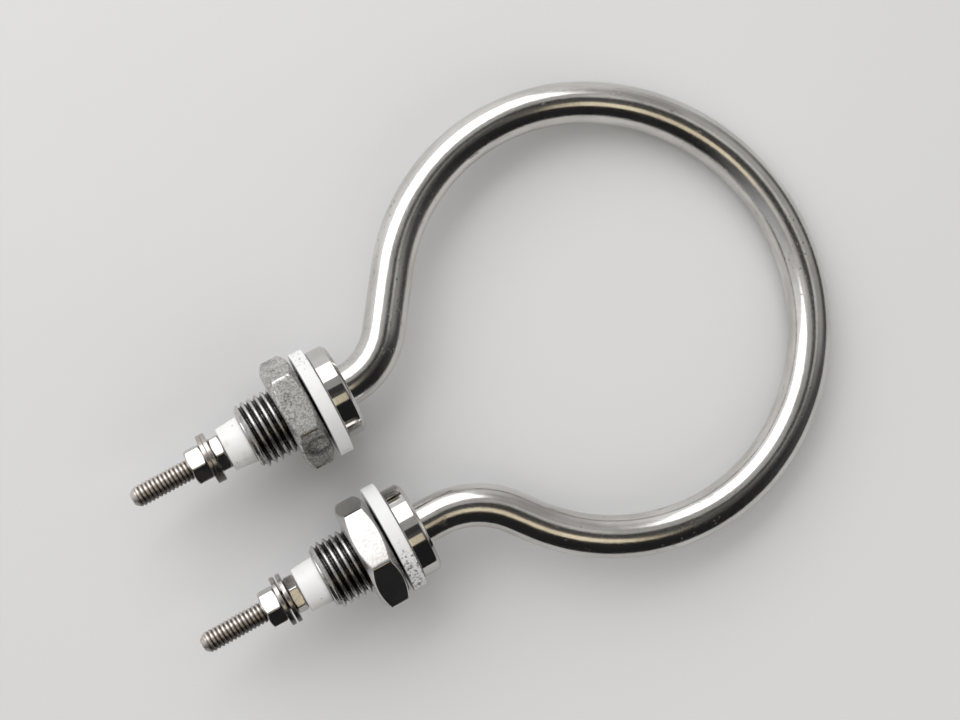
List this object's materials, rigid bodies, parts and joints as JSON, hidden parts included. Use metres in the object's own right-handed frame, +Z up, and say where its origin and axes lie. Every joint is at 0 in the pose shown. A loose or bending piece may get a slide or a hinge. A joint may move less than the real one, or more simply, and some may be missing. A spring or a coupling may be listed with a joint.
{
  "type": "tubular heating element",
  "caption": "Round steel tube heater bent into a flat loop, with a flanged threaded bushing, nut, gasket, ceramic collar and screw terminal on each parallel leg.",
  "frame": {"origin": "midway between the two legs, in the plane of the flange faces that press on the gaskets", "axes": "+X along the legs towards the loop, +Y from the right leg to the left leg, +Z up, square to the flat loop"},
  "size_m": [0.1713, 0.114, 0.0268],
  "materials": {
    "sheath": "satin drawn stainless tube with small pits",
    "bushing": "turned and polished stainless steel",
    "mounting_nut": "bright hexagon steel with a rough, pitted face",
    "gasket": "matte white silicone, slightly soiled",
    "ceramic": "unglazed white steatite",
    "sealant": "cured sealing compound",
    "terminal_pin": "plain steel with a fine thread",
    "terminal_nut": "bright steel",
    "washer": "stamped steel",
    "powder": "packed magnesium oxide powder",
    "heating_wire": "dull nickel-chrome wire"
  },
  "bodies": {
    "root": {"insulating_powder": "powder", "left_bushing": "bushing", "left_ceramic_insulator": "ceramic", "left_end_seal": "sealant", "left_gasket": "gasket", "left_inner_terminal_nut": "terminal_nut", "left_inner_washer": "washer", "left_mounting_nut": "mounting_nut", "left_outer_terminal_nut": "terminal_nut", "left_outer_washer": "washer", "left_terminal_pin": "terminal_pin", "resistance_coil": "heating_wire", "right_bushing": "bushing", "right_ceramic_insulator": "ceramic", "right_end_seal": "sealant", "right_gasket": "gasket", "right_inner_terminal_nut": "terminal_nut", "right_inner_washer": "washer", "right_mounting_nut": "mounting_nut", "right_outer_terminal_nut": "terminal_nut", "right_outer_washer": "washer", "right_terminal_pin": "terminal_pin", "sheath": "sheath"}
  },
  "joints": []
}
